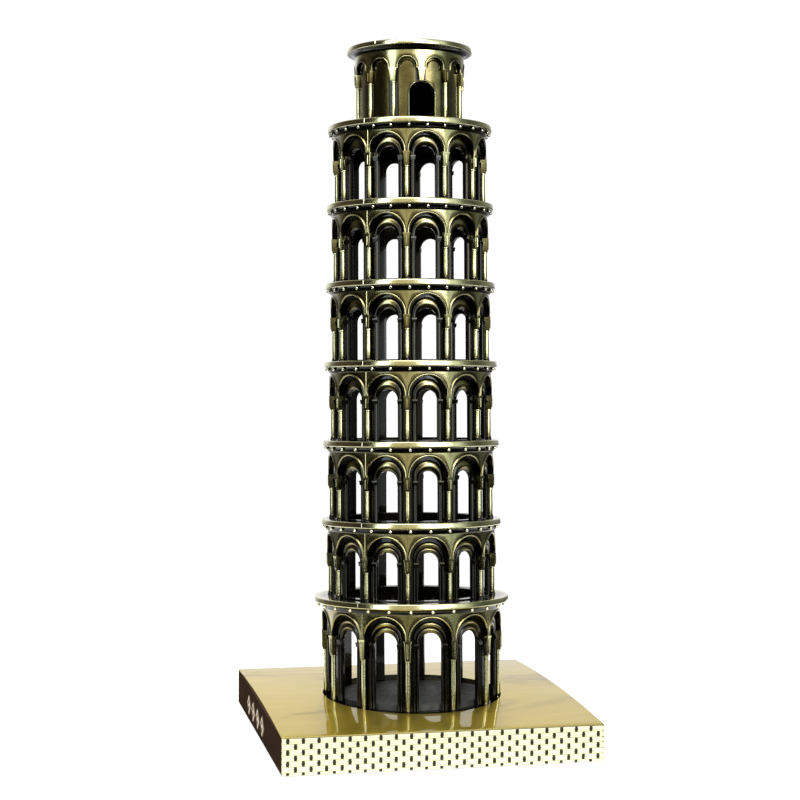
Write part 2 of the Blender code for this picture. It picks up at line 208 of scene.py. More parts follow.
def arch_line(half_width, foot, centre):
    """Outline of a round-headed opening, from the right foot over the head to the left foot."""
    line = [(half_width, foot + (centre - foot) * step / JAMB_STEPS) for step in range(JAMB_STEPS)]
    for step in range(ARCH_STEPS + 1):
        angle = math.pi * step / ARCH_STEPS
        line.append((half_width * math.cos(angle), centre + half_width * math.sin(angle)))
    line += [(-x, z) for x, z in reversed(line[:JAMB_STEPS])]
    return line


def frame_line(side, top, foot, centre):
    """Rectangle round an arch with as many points as arch_line, each straight outward from it."""
    line = [(side, foot + (centre - foot) * step / JAMB_STEPS) for step in range(JAMB_STEPS)]
    corner = math.atan2(top - centre, side)
    quarter = ARCH_STEPS // 2
    at_corner = min(quarter - 1, max(1, round(corner / (math.pi / 2) * quarter)))
    right = []
    for step in range(quarter + 1):
        if step <= at_corner:
            right.append((side, centre + (top - centre) * step / at_corner))
        else:
            right.append((side * (quarter - step) / (quarter - at_corner), top))
    line += right + [(-x, z) for x, z in reversed(right[:-1])]
    line += [(-x, z) for x, z in reversed(line[:JAMB_STEPS])]
    return line


def blend_lines(first, second, share):
    """Points part of the way from one outline to another."""
    return [
        (a[0] + (b[0] - a[0]) * share, a[1] + (b[1] - a[1]) * share) for a, b in zip(first, second)
    ]


def loft(shape, stations):
    """Skin through (line, radius, wear) stations; wear is one number or one for each point.

    The first and last stations lie on the bay's frame. They are joined along the frame's top,
    and each foot is closed by one face, so twelve bays weld into one closed body.
    """
    border = stations[0][0]
    rows, columns = len(stations), len(border)
    points = []
    wear_and_highlight = []
    for line, radius, worn_and_highlit in stations:
        points += [on_wall(across, height, radius) for across, height in line]
        wear_and_highlight += worn_and_highlit if isinstance(worn_and_highlit, list) else [worn_and_highlit] * columns
    faces = grid_faces(rows, columns)
    top = max(height for _, height in border) - 1e-6
    last = (rows - 1) * columns
    for index in range(columns - 1):
        if border[index][1] > top and border[index + 1][1] > top:
            faces.append((index, index + 1, last + index + 1, last + index))
    faces.append(tuple(row * columns for row in range(rows)))
    faces.append(tuple(row * columns + columns - 1 for row in range(rows)))
    shape.add(points, faces, wear_and_highlight)


def bead(shape, centre, radius, worn_and_highlit, steps=10):
    """A small ball."""
    rings = steps // 2
    x, y, z = centre
    points = [(x, y, z - radius)]
    for ring in range(1, rings):
        lift = math.pi * (ring / rings - 0.5)
        across, height = radius * math.cos(lift), z + radius * math.sin(lift)
        for step in range(steps):
            angle = math.tau * step / steps
            points.append((x + across * math.cos(angle), y + across * math.sin(angle), height))
    points.append((x, y, z + radius))
    faces = [tuple(1 + index for index in face) for face in grid_faces(rings - 1, steps, False, True)]
    top = 1 + (rings - 2) * steps
    for step in range(steps):
        after = (step + 1) % steps
        faces += [(0, 1 + after, 1 + step), (top + step, top + after, len(points) - 1)]
    shape.add(points, faces, worn_and_highlit)


def tapered_block(shape, centre, low, high, low_half, high_half, bevel, wear_low, wear_high):
    """A block standing on Z with bevelled uprights; halves are (across, deep) at each end."""
    points = []
    wear_and_highlight = []
    for height, (across, deep), worn_and_highlit in ((low, low_half, wear_low), (high, high_half, wear_high)):
        ring = []
        for sx, sy in ((1, -1), (1, 1), (-1, 1), (-1, -1)):
            corner_x, corner_y = sx * across, sy * deep
            first = (corner_x - sx * bevel, corner_y)
            second = (corner_x, corner_y - sy * bevel)
            ring += [first, second] if sx * sy < 0 else [second, first]
        points += [(centre[0] + x, centre[1] + y, height) for x, y in ring]
        wear_and_highlight += [worn_and_highlit] * len(ring)
    shape.add(points, capped_faces(2, len(ring)), wear_and_highlight)


def turned_post(shape, centre, profile, steps=16):
    """A small turned post from (radius, height, wear) points, closed at both ends."""
    points, wear_and_highlight = turned(profile, steps, centre)
    shape.add(points, capped_faces(len(profile), steps), wear_and_highlight)


# ---------------- materials


def new_material(name):
    """A material, its node tree and its Principled shader."""
    material = bpy.data.materials.new(name)
    material.use_nodes = True
    tree = material.node_tree
    return material, tree, tree.nodes["Principled BSDF"]


def feed(tree, target, inputs):
    """Set a node's inputs, or link those that are given as sockets."""
    for key, value in inputs.items():
        if isinstance(value, bpy.types.NodeSocket):
            tree.links.new(value, target.inputs[key])
        else:
            target.inputs[key].default_value = value


def node(tree, kind, inputs=None, **settings):
    """A node with its settings, and its inputs set or linked."""
    made = tree.nodes.new(kind)
    for key, value in settings.items():
        setattr(made, key, value)
    feed(tree, made, inputs or {})
    return made


def maths(tree, operation, *values, **settings):
    """The result of one Math node."""
    inputs = dict(enumerate(values))
    return node(tree, "ShaderNodeMath", inputs, operation=operation, **settings).outputs[0]


def swing(tree, signal, amount):
    """A 0 to 1 signal as one that goes half the amount either way."""
    return maths(tree, "MULTIPLY_ADD", signal, amount, -amount / 2)


def noise(tree, scale, detail=4.0, roughness=0.55):
    """Noise over the object's own coordinates, as a 0 to 1 factor."""
    place = node(tree, "ShaderNodeTexCoord")
    made = node(tree, "ShaderNodeTexNoise", {
        "Vector": place.outputs["Object"], "Scale": scale, "Detail": detail, "Roughness": roughness,
    })
    return made.outputs["Fac"]


def ramp(tree, factor, stops):
    """A colour ramp with (position, colour) stops."""
    made = node(tree, "ShaderNodeValToRGB", {"Fac": factor})
    band = made.color_ramp
    while len(band.elements) < len(stops):
        band.elements.new(0.5)
    for element, (position, colour) in zip(band.elements, stops):
        element.position = position
        element.color = (*colour, 1.0)
    return made.outputs["Color"]


def grey(value):
    """A neutral colour."""
    return (value, value, value)


def worn_and_highlit_factor(tree, blotch):
    """The mesh's wear, broken up by blotches of that strength and by fine grain. On the heads of the
    inner arch rings the wear value also holds a painted highlight.
    """
    blotch_scale, grain_scale, grain = 260.0, 2600.0, 0.12
    wear_and_highlight = node(tree, "ShaderNodeAttribute", attribute_name="wear_and_highlight").outputs["Fac"]
    wide = swing(tree, noise(tree, blotch_scale, 3.0), blotch)
    fine = swing(tree, noise(tree, grain_scale, 6.0, 0.7), grain)
    return maths(tree, "ADD", wear_and_highlight, maths(tree, "ADD", wide, fine), use_clamp=True)


def bump(tree, height, strength, distance):
    """A normal bent by a height signal."""
    return node(tree, "ShaderNodeBump", {
        "Height": height, "Strength": strength, "Distance": distance}).outputs["Normal"]


def antique_brass(name, stops, roughness, blotch, constants):
    """Plated casting: dark patina where wear is low, rubbed gold where it is high, and a painted
    highlight on the heads of the inner arch rings, which are given a higher value.

    roughness is the pair for bare metal and for patina.
    """
    material, tree, shader = new_material(name)
    worn_and_highlit = worn_and_highlit_factor(tree, blotch)
    bare, dull = roughness
    rough = ramp(tree, worn_and_highlit, [(0.0, grey(dull)), (1.0, grey(bare))])
    smear = swing(tree, noise(tree, 900.0, 5.0), 0.14)
    feed(tree, shader, {
        "Base Color": ramp(tree, worn_and_highlit, stops),
        "Roughness": maths(tree, "ADD", rough, smear, use_clamp=True),
        "Metallic": 1.0,
        "Normal": bump(tree, noise(tree, 1800.0, 6.0, 0.65), 0.35, 0.00006),
        **constants})
    return material


def casting_brass():
    """The tower's finish: almost black in the hollows and pale gold on the edges."""
    return antique_brass("antique_brass_casting", [
        (0.0, (0.004, 0.0035, 0.002)),
        (0.25, (0.014, 0.012, 0.006)),
        (0.5, (0.14, 0.115, 0.036)),
        (0.68, (0.44, 0.42, 0.20)),
        (0.85, (0.70, 0.67, 0.38)),
        (1.0, (0.90, 0.88, 0.70)),
    ], roughness=(0.12, 0.28), blotch=0.25, constants={"Coat Weight": 0.55, "Coat Roughness": 0.06})


def brick_brass():
    """Pale matt gold of the bricks, with dark joints."""
    return antique_brass("brick_relief_brass", [
        (0.0, (0.015, 0.013, 0.006)),
        (0.35, (0.20, 0.17, 0.08)),
        (0.6, (0.54, 0.51, 0.29)),
        (1.0, (0.69, 0.67, 0.42)),
    ], roughness=(0.42, 0.5), blotch=0.10, constants={"Metallic": 0.35})


def shaded_side_finish():
    """Dark brown painted shade for the base's left side, made darker than the pale bricks of the other
    sides; metallic only where it is rubbed.
    """
    material = antique_brass("brown_side_painted_shade", [
        (0.0, (0.030, 0.018, 0.012)),
        (0.5, (0.105, 0.058, 0.038)),
        (0.8, (0.40, 0.33, 0.22)),
        (1.0, (0.85, 0.80, 0.66)),
    ], roughness=(0.35, 0.7), blotch=0.18, constants={"Specular IOR Level": 0.0})
    tree = material.node_tree
    wear_and_highlight = node(tree, "ShaderNodeAttribute", attribute_name="wear_and_highlight").outputs["Fac"]
    rubbed_and_highlit = ramp(tree, wear_and_highlight, [(0.5, grey(0.0)), (0.9, grey(0.9))])
    feed(tree, tree.nodes["Principled BSDF"], {"Metallic": rubbed_and_highlit})
    return material


def streaks(tree, scale, location, settings):
    """Noise over the object's own coordinates, with a scale for each axis."""
    place = node(tree, "ShaderNodeTexCoord").outputs["Object"]
    mapped = node(tree, "ShaderNodeMapping", {"Vector": place, "Location": location, "Scale": scale})
    inputs = {"Vector": mapped.outputs["Vector"], "Scale": 1.0, **settings}
    return node(tree, "ShaderNodeTexNoise", inputs).outputs["Fac"]


def polished_top():
    """Pale lacquered brass with faint smears and fine polishing lines along X."""
    material, tree, shader = new_material("polished_base_top")
    lines = streaks(tree, (60.0, 2600.0, 60.0), (0.0, 0.0, 0.0), {"Detail": 3.0})
    blotch = streaks(tree, (16.0, 48.0, 16.0), (0.3, 1.1, 0.0), {
        "Detail": 6.0, "Roughness": 0.6, "Distortion": 0.6})
    brushed = maths(tree, "MULTIPLY_ADD", lines, 0.10, 0.30)
    feed(tree, shader, {
        "Base Color": ramp(tree, blotch, [
            (0.30, (0.24, 0.15, 0.022)), (0.43, (0.76, 0.61, 0.13)), (0.75, (0.90, 0.75, 0.20))]),
        "Roughness": maths(tree, "MULTIPLY_ADD", noise(tree, 120.0, 5.0), 0.16, brushed),
        "Metallic": 1.0, "Specular Tint": (0.80, 0.68, 0.25, 1.0), "Coat Weight": 1.0,
        "Coat Roughness": 0.03, "Coat IOR": 1.45, "Coat Tint": (1.0, 0.97, 0.85, 1.0),
        "Normal": bump(tree, lines, 0.05, 0.00002)})
    return material


def mottled(name, colour, rough, relief, constants):
    """A finish whose colour, roughness and bump each follow a noise of their own.

    colour and rough are (noise settings, low, high), relief is (noise settings, strength, depth).
    """
    material, tree, shader = new_material(name)
    for socket, (grain, low, high) in (("Base Color", colour), ("Roughness", rough)):
        feed(tree, shader, {socket: ramp(tree, noise(tree, *grain), [(0.3, low), (0.7, high)])})
    grain, strength, depth = relief
    feed(tree, shader, {"Normal": bump(tree, noise(tree, *grain), strength, depth), **constants})
    return material


def dark_floor():
    """Dull dark grey oxide of the disc inside the foot."""
    return mottled("dark_oxide_floor",
                   ((350.0, 5.0), (0.030, 0.030, 0.026), (0.060, 0.060, 0.054)),
                   ((900.0, 4.0), grey(0.5), grey(0.72)),
                   ((2200.0, 5.0), 0.4, 0.00005), {"Metallic": 0.6})


def plated_steel():
    """Zinc-plated steel of the hidden plate and screws."""
    return mottled("zinc_plated_steel",
                   ((500.0, 5.0), (0.42, 0.43, 0.44), (0.60, 0.60, 0.58)),
                   ((1500.0, 4.0), grey(0.24), grey(0.42)),
                   ((3000.0, 4.0), 0.2, 0.00003), {"Metallic": 1.0})


def pressed_felt():
    """Short black felt."""
    fibres = (5200.0, 8.0, 0.8)
    return mottled("black_pressed_felt",
                   (fibres, (0.008, 0.008, 0.009), (0.040, 0.040, 0.043)),
                   ((700.0,), grey(0.88), grey(1.0)),
                   (fibres, 0.8, 0.00012), {"Sheen Weight": 0.4})


def make_materials():
    """Every finish on the object, by a plain name."""
    return {"casting": casting_brass(), "brick": brick_brass(), "side": shaded_side_finish(),
            "top": polished_top(), "floor": dark_floor(), "steel": plated_steel(),
            "felt": pressed_felt()}


# ---------------- tower pieces


def storey_plan(storey):
    """The heights and half widths that one storey's arches follow."""
    ground = storey == 1
    outer = wall_radius(storey)
    half_pier = 0.85
    opening = outer * math.tan(BAY_ANGLE / 2) - half_pier
    crown_drop = 3.8 if ground else 3.9
    return {
        "outer": outer,
        "bore": bore_radius(storey),
        "low": lip_top(storey - 1),
        "top": lip_top(storey) - LIP,
        "opening": opening,
        "spring": lip_top(storey) - crown_drop - opening,
        "inner": 2.9 if ground else 2.6,
        "inner_drop": 1.4,
        "band": 4.4 if ground else 4.0,
        "capital": 5.2 if ground else 3.8,
        "rolls": 2 if storey <= 2 else 1,
    }


def side_of(radius):
    """Half the width of a bay at a radius."""
    return radius * math.sin(BAY_ANGLE / 2)


def outer_order(plan, width=0.62, proud=0.26, depth=ORDER_DEPTH + 0.2):
    """The arched outer face of one bay above the capitals, with its rounded archivolt."""
    shape = Shape()
    outer, top, spring, opening = plan["outer"], plan["top"], plan["spring"], plan["opening"]
    foot = spring - 0.5
    frame_front = frame_line(side_of(outer), top, foot, spring)
    edge = arch_line(opening + width, foot, spring)
    stations = [(frame_front, outer, 0.62)]
    stations += [(blend_lines(frame_front, edge, share), outer, 0.66) for share in (0.33, 0.66)]
    stations.append((edge, outer, 0.3))
    steps = 8
    for step in range(1, steps):
        share = step / steps
        lift = proud * math.sin(math.pi * share)
        line = arch_line(opening + width * (1 - share), foot, spring)
        stations.append((line, outer + lift, 0.3 + 0.36 * math.sin(math.pi * share)))
    reveal = arch_line(opening, foot, spring)
    back = outer - depth
    stations += [(reveal, outer, 0.35), (reveal, outer - 0.35, 0.16), (reveal, back, 0.02),
                 (frame_line(side_of(back), top, foot, spring), back, 0.0)]
    loft(shape, stations)
    return shape


def crown_highlight_shares():
    """How near each of arch_line's points is to the head of the arch, from 0 to 1; it weights a
    painted highlight on the head of each inner ring.
    """
    head = [math.sin(math.pi * step / ARCH_STEPS) ** 5 for step in range(ARCH_STEPS + 1)]
    return [0.0] * JAMB_STEPS + head + [0.0] * JAMB_STEPS


def inner_order(plan):
    """The set-back wall of one bay: pilasters and ring round the narrow opening."""
    shape = Shape()
    field = plan["outer"] - ORDER_DEPTH
    low, top, spring = plan["low"], plan["top"], plan["spring"]
    centre = spring - plan["inner_drop"]
    proud = 0.5
    band, inner, bore = plan["band"], plan["inner"], plan["bore"]
    band_line = arch_line(band, low, spring)
    inner_line = arch_line(inner, low, centre)
    frame_front = frame_line(side_of(field), top, low, spring)
    stations = [
        (frame_front, field, 0.0),
        (blend_lines(frame_front, band_line, 0.6), field, 0.0),
        (band_line, field, 0.03),
    ]
    steps = 13
    for step in range(1, steps + 1):
        share = step / (steps + 1)
        lift = abs(math.sin(math.pi * share * plan["rolls"])) ** 0.8
        lift *= 1 - 0.35 * share * (plan["rolls"] - 1)
        # Raised rolls get more wear, as rubbed metal. On top of that, the head of each ring is made
        # lighter as a painted highlight.
        values = [0.04 + 0.2 * lift + 0.42 * rubbed_and_highlit * lift ** 0.4 for rubbed_and_highlit in crown_highlight_shares()]
        stations.append((blend_lines(band_line, inner_line, share), field + proud * lift, values))
    stations += [
        (inner_line, field, 0.05),
        (inner_line, field - 0.3, 0.02),
        (inner_line, bore + 0.2, 0.02),
        (arch_line(inner + 0.2, low, centre), bore, 0.10),
        (frame_line(side_of(bore), top, low, spring), bore, 0.04),
    ]
    loft(shape, stations)
    return shape


def column(plan, scale=1.0, spread=1.0, with_shaft=True):
    """One column with its foot, shaft and capital, in the bay's middle plane."""
    shape = Shape()
    outer, low, spring = plan["outer"], plan["low"], plan["spring"]
    radius = 0.62 * scale
    middle = (0.0, -(outer - radius - 0.12))
    neck = spring - plan["capital"]
    crest = spring - 0.35
    foot = 0.55
    profile = [
        (radius * 1.4, low - 0.1, 0.1),
        (radius * 1.4, low + foot * 0.55, 0.3),
        (radius * 1.15, low + foot * 0.75, 0.15),
        (radius * 1.28, low + foot * 1.1, 0.4),
        (radius * 1.18, low + foot * 1.45, 0.35),
        (radius * 1.02, low + foot * 1.7, 0.5),
        (radius * 1.05, low + (neck - low) * 0.4, 0.78),
        (radius * 0.96, neck - 0.45, 0.72),
        (radius * 1.25, neck - 0.3, 0.8),
        (radius * 1.25, neck - 0.1, 0.8),
        (radius, neck, 0.4),
        (radius, neck + 0.3, 0.4),
    ]
    if with_shaft:
        turned_post(shape, middle, profile)
    depth = 0.85 * scale
    wide, slim = 0.92 * scale * spread, 0.62 * scale * spread
    slab = 0.5
    front = (0.0, -(outer - depth + 0.3))
    tapered_block(shape, front, neck, crest - slab, (slim, depth * 0.8), (wide * 0.94, depth),
                  0.14, 0.5, 0.62)
    tapered_block(shape, front, crest - slab, crest, (wide, depth * 1.06),
                  (wide * 1.05, depth * 1.1), 0.1, 0.66, 0.74)
    rib_front = (0.0, front[1] - depth * 0.9)
    tapered_block(shape, rib_front, neck + 0.5, crest - slab - 0.2,
                  (0.16, 0.16), (0.26, 0.20), 0.08, 0.7, 0.8)
    return shape


def imposts(plan):
    """Small capitals on the inner pilasters of one bay, left and right."""
    shape = Shape()
    field = plan["outer"] - ORDER_DEPTH
    middle = (plan["inner"] + plan["band"]) / 2
    half = (plan["band"] - plan["inner"]) / 2
    spring = plan["spring"] - plan["inner_drop"]
    for side in (1, -1):
        x = side * middle
        y = -math.sqrt((field + 0.35) ** 2 - middle ** 2)
        tapered_block(shape, (x, y), spring - 1.0, spring - 0.2,
                      (half * 0.86, 0.36), (half * 0.94, 0.44), 0.08, 0.10, 0.22)
        tapered_block(shape, (x, y), spring - 0.2, spring + 0.1,
                      (half * 0.98, 0.5), (half * 0.98, 0.5), 0.08, 0.22, 0.3)
    return shape


def seam_fin(shape, radius, low, high, worn_and_highlit=0.75):
    """Parting line left by the mould: a thin upright fin on both sides of a round piece."""
    half, bevel = (0.14, 0.16), 0.05
    fin = Shape()
    tapered_block(fin, (0.0, -radius), low, high, half, half, bevel, worn_and_highlit, worn_and_highlit)
    shape.turned_copies(fin, 2, SEAM_ANGLE)


def make_storey(storey, material):
    """One arcaded storey."""
    plan = storey_plan(storey)
    shape = Shape()
    for part in (outer_order(plan), inner_order(plan), imposts(plan)):
        shape.turned_copies(part, BAYS)
    shape.turned_copies(column(plan), BAYS, BAY_ANGLE / 2)
    bore, low = plan["bore"], plan["low"]
    turn(shape, [
        (bore + 1.3, low + 0.2, 0.12), (bore + 1.3, low, 0.05),
        (bore + 0.1, low, 0.05), (bore + 0.1, low + 0.2, 0.1),
    ])
    seam_fin(shape, plan["outer"] + 0.02, plan["spring"], plan["top"])
    return shape.build(f"storey_{storey}_arcade_detail", material, TOWER)


def arc(centre, radius, start, end, steps, worn_and_highlit):
    """Profile points on an arc, in degrees from +radius towards +height."""
    made = []
    for step in range(steps + 1):
        angle = math.radians(start + (end - start) * step / steps)
        made.append((
            centre[0] + radius * math.cos(angle), centre[1] + radius * math.sin(angle), worn_and_highlit,
        ))
    return made


def rolled_edge(rim, top, low, worn_and_highlit):
    """Profile of a lip's outer band: rounded corners and a face that leans back a little."""
    upper, lower, lean = 0.30, 0.24, 7
    return (arc((rim - upper - 0.10, top - upper), upper, 90, lean, 6, worn_and_highlit)
            + arc((rim - lower, low + lower), lower, lean, -90, 6, worn_and_highlit))


def scoop(start, high, reach, drop, count):
    """Profile of a hollow underside: a quarter ellipse that runs inward and down."""
    made = []
    for step in range(count):
        angle = math.pi / 2 * step / (count - 1)
        made.append((start - reach * math.sin(angle), high - drop * (1 - math.cos(angle)), 0.02))
    return made


def make_gallery(storey, material):
    """Gallery ring: rounded lip, hollow underside with beads, and the inner sill."""
    shape = Shape()
    top, rim = lip_top(storey), lip_radius(storey)
    wall = wall_radius(storey)
    under = top - LIP
    toe = under - SKIRT_DROP
    sill_out = bore_radius(storey + 1) - 0.1
    sill_in = sill_out - 1.0
    sill_top = top + 0.15
    face = top - 0.12
    edge = face - 1.45
    hollow = rim - 1.05 - wall
    profile = rolled_edge(rim, face, edge, 0.8)
    profile += scoop(rim - 0.7, edge, hollow, edge - toe - 0.2, 8)
    profile += [
        (wall + 0.30, under - SKIRT_DROP * 0.92, 0.2),
        (wall + 0.26, toe, 0.55),
        (wall - 0.25, toe, 0.3),
        (wall - 0.25, under, 0.0),
        (sill_in, under, 0.0),
        (sill_in, sill_top - 0.1, 0.05),
        (sill_in + 0.1, sill_top, 0.12),
        (sill_out - 0.1, sill_top, 0.12),
        (sill_out, sill_top - 0.1, 0.1),
        (sill_out, face, 0.1),
        (wall_radius(storey + 1), face, 0.25),
        (rim - 1.2, face, 0.66),
    ]
    turn(shape, profile)
    one_bead = Shape()
    bead_radius, bead_inset, bead_drop = 0.46, 0.75, 2.15
    bead(one_bead, (0.0, bead_inset - rim, top - bead_drop), bead_radius, 0.95)
    shape.turned_copies(one_bead, BEADS)
    seam_fin(shape, rim - 0.1, edge + 0.2, face - 0.2, 0.95)
    return shape.build(f"gallery_ring_{storey}_detail", material, TOWER)


def arched_band(shape, half, width, foot, spring, radius, proud, worn_and_highlit, low_wear=0.1):
    """A rounded moulding that follows a round-headed opening on a cylinder."""
    steps = 6
    rows = []
    for step in range(steps + 1):
        share = step / steps
        lift = proud * math.sin(math.pi * share) - 0.12
        rows.append((arch_line(half + width * share, foot, spring), radius + lift,
                     low_wear + (worn_and_highlit - low_wear) * math.sin(math.pi * share)))
    back = radius - 0.4
    rows.append((arch_line(half + width, foot, spring), back, 0.0))
    rows.append((arch_line(half, foot, spring), back, 0.0))
    columns = len(rows[0][0])
    points = [on_wall(x, z, place) for line, place, _ in rows for x, z in line]
    wear_and_highlight = [value for line, _, value in rows for _ in line]
    faces = grid_faces(len(rows), columns, True, False)
    faces.append(tuple(row * columns for row in range(len(rows))))
    faces.append(tuple(row * columns + columns - 1 for row in reversed(range(len(rows)))))
    shape.add(points, faces, wear_and_highlight)


def belfry_wall(low, top, spring, field, door_half, door_spring):
    """The belfry's plain wall with its doorway cut out, darker in the blind arches."""
    bore = bore_radius(BELFRY)
    steps = 288
    heights = [low + 0.35, low + 1.2, spring - 3.5, spring + 2.0, top]
    rows = [(field, z) for z in heights] + [(bore, z) for z in reversed(heights)]
    arch_share, arch_wear, pier_wear, inside_wear = 0.34, 0.05, 0.5, 0.03
    points = []
    wear_and_highlight = []
    for radius, z in rows:
        for step, (x, y) in enumerate(circle(radius, steps)):
            points.append((x, y, z))
            angle = math.tau * step / steps
            off = abs((angle + BAY_ANGLE / 2) % BAY_ANGLE - BAY_ANGLE / 2) / (BAY_ANGLE / 2)
            outside = arch_wear if off < arch_share else pier_wear
            wear_and_highlight.append(outside if radius > bore else inside_wear)
    wall = Shape()
    wall.add(points, grid_faces(len(rows), steps, True, True), wear_and_highlight)
    line = arch_line(door_half, low - 1.0, door_spring)
    depths = (-wall_radius(BELFRY) - 2, -bore * 0.6)
    ends = [(x, y, z) for y in depths for x, z in line]
    facing = Matrix.Rotation(DOOR_TURN, 4, "Z")
    tool = solid_from("cut_belfry_doorway", ends, capped_faces(2, len(line)), facing, worn_and_highlit=0.0)
    body = wall.build("belfry_wall", tool.data.materials[0])
    cut(body, [tool])
    mesh = body.data
    values = [item.value for item in mesh.attributes["wear_and_highlight"].data]
    made = Shape()
    made.add([v.co / MM for v in mesh.vertices], [tuple(f.vertices) for f in mesh.polygons], values)
    bpy.data.objects.remove(body, do_unlink=True)
    return made


def make_belfry_drum(material):
    """Belfry: plain wall with a doorway, twelve blind arches, slender columns and capitals."""
    low = lip_top(STOREYS)
    rim = belfry_rim()
    outer = wall_radius(BELFRY)
    top, spring = rim - 2.0, rim - 6.6
    opening = 2.3
    field = outer - 0.95
    door_half = 3.25
    door_spring = low + 9.9 - door_half
    shape = Shape()
    wall = belfry_wall(low, top, spring, field, door_half, door_spring)
    shape.turned_copies(wall, 1)
    plan = {"outer": outer, "low": low + 0.3, "top": top, "spring": spring,
            "opening": opening, "capital": 3.6}
    arches = outer_order(plan, width=0.55, proud=0.2, depth=outer - field)
    shape.turned_copies(arches, BAYS, BAY_ANGLE / 2)
    inner_band = Shape()
    arched_band(inner_band, opening - 0.75, 0.4, spring - 0.1, spring, field + 0.1, 0.25, 0.55)
    shape.turned_copies(inner_band, BAYS, BAY_ANGLE / 2)
    for index in range(BAYS):
        # The doorway takes the place of the front column's shaft.
        post = column(plan, scale=0.80, spread=1.32, with_shaft=index > 0)
        shape.turned_copies(post, 1, index * BAY_ANGLE)
    surround = Shape()
    arched_band(surround, door_half - 0.05, 0.6, low + 0.35, door_spring, field + 0.1, 0.4, 0.95,
                low_wear=0.2)
    shape.turned_copies(surround, 1, DOOR_TURN)
    return shape.build("belfry_drum_detail", material, TOWER)


def make_cornice(material):
    """Flared cornice with a bright rounded edge and a raised lip round the roof."""
    rim = belfry_rim()
    edge = 16.3
    lip = 1.32
    inset = 0.5
    outer, bore = wall_radius(BELFRY), bore_radius(BELFRY)
    under = rim - 2.4
    ledge = rim - 2.1
    shape = Shape()
    profile = rolled_edge(edge, rim, rim - lip, 0.86)
    profile += scoop(edge - inset, rim - lip, edge - inset - outer - 0.1, 0.95, 6)
    profile += [
        (outer + 0.05, under, 0.1),
        (bore, under, 0.05),
        (bore, ledge, 0.05),
        (outer - 0.3, ledge, 0.05),
        (outer - 0.3, rim - 0.35, 0.2),
        (outer, rim, 0.5),
        (outer + 0.8, rim - 0.08, 0.6),
        (edge - 0.9, rim - 0.06, 0.7),
    ]
    turn(shape, profile)
    seam_fin(shape, edge - 0.08, rim - 0.85, rim - 0.1, 0.95)
    return shape.build("belfry_cornice_detail", material, TOWER)


def make_roof(material):
    """Low domed roof inside the cornice, with two ring mouldings."""
    rim = belfry_rim()
    edge = wall_radius(BELFRY) - 0.6
    low = rim - 1.8
    steps, tip, rise = 12, 0.05, 0.75
    moulding, spread, moulding_radii = 0.14, 0.35, (10.6, 3.2)
    shape = Shape()
    profile = [(tip, low, 0.1), (edge, low, 0.1), (edge, low + 0.4, 0.15)]
    for step in range(steps + 1):
        share = step / steps
        radius = edge * (1 - share) + tip * share
        ripple = sum(moulding * math.exp(-((radius - at) / spread) ** 2) for at in moulding_radii)
        height = low + 0.45 + rise * math.sin(share * math.pi / 2) + ripple
        profile.append((radius, height, 0.3 + 0.35 * share))
    turn(shape, profile, 120)
    return shape.build("belfry_roof_detail", material, TOWER)


# ---------------- base pieces

BASE_HALF = 40.0
BASE_EDGE = 9.6
BASE_FOOT = 0.3
BASE_CROWN = 1.2
BASE_WALL = 2.4
BASE_CEILING = 7.2
BAND = BASE_EDGE - 0.35
BRICK_PITCH = 3.75
COURSE = 1.37
RELIEF = 0.45
SCREW_INSET = 6.9
FELT_THICKNESS = 0.7


def crown(y):
    """Height of the base's top, which is a shallow barrel across Y."""
    return BASE_EDGE + BASE_CROWN * (1 - (y / BASE_HALF) ** 2)


def brick(shape, low, high, front, depth, worn_and_highlit):
    """A rounded brick on the XZ plane, from its (x, z) corners, facing -Y."""
    (x0, z0), (x1, z1) = low, high
    half_x, half_z = (x1 - x0) / 2, (z1 - z0) / 2
    smallest = 0.12
    if half_x < smallest or half_z < smallest:
        return
    middle = ((x0 + x1) / 2, (z0 + z1) / 2)
    corner = min(0.12, half_x * 0.4, half_z * 0.9)
    pinch = min(0.13, half_x * 0.3)
    outline = []
    for sx, sz, turn_from in ((1, 1, 0), (-1, 1, 90), (-1, -1, 180), (1, -1, 270)):
        if sx * sz > 0:
            outline.append((sx * (half_x - pinch), 0.0))
        for step in range(4):
            angle = math.radians(turn_from + 30 * step)
            outline.append((sx * (half_x - corner) + corner * math.cos(angle),
                            sz * (half_z - corner) + corner * math.sin(angle)))
    layers = ((1.0, depth, 0.0), (1.0, 0.14, 0.62), (0.93, 0.04, 0.88), (0.75, 0.0, 1.0))
    points = []
    for scale, back, _ in layers:
        for x, z in outline:
            edge_x = x - math.copysign(min(abs(x), (1 - scale) * half_z), x)
            points.append((middle[0] + edge_x, front + back, middle[1] + z * scale))
    wear_and_highlight = [value * worn_and_highlit for _, _, value in layers for _ in outline]
    shape.add(points, capped_faces(len(layers), len(outline)), wear_and_highlight)


def brick_side(seed):
    """Courses of bricks for one side, in the plane of the front face."""
    shape = Shape()
    chance = np.random.default_rng(seed)
    joint, bed, clear = 0.62, 0.04, 0.02
    offset = 1.5 - BRICK_PITCH - BASE_HALF
    least = 0.2
    course = 0
    while BAND - course * COURSE > BASE_FOOT + least:
        high = BAND - course * COURSE - bed / 2
        low = max(high - COURSE + bed, BASE_FOOT)
        start = offset + (BRICK_PITCH / 2 if course % 2 else 0.0)
        while start < BASE_HALF:
            x0 = max(start + joint / 2, -BASE_HALF + clear)
            x1 = min(start + BRICK_PITCH - joint / 2, BASE_HALF - clear)
            lift = chance.uniform(0.0, 0.05)
            if x1 > x0:
                brick(shape, (x0, low), (x1, high), -BASE_HALF + lift, RELIEF + 0.1,
                      chance.uniform(0.88, 1.0))
            start += BRICK_PITCH
        course += 1
    return shape


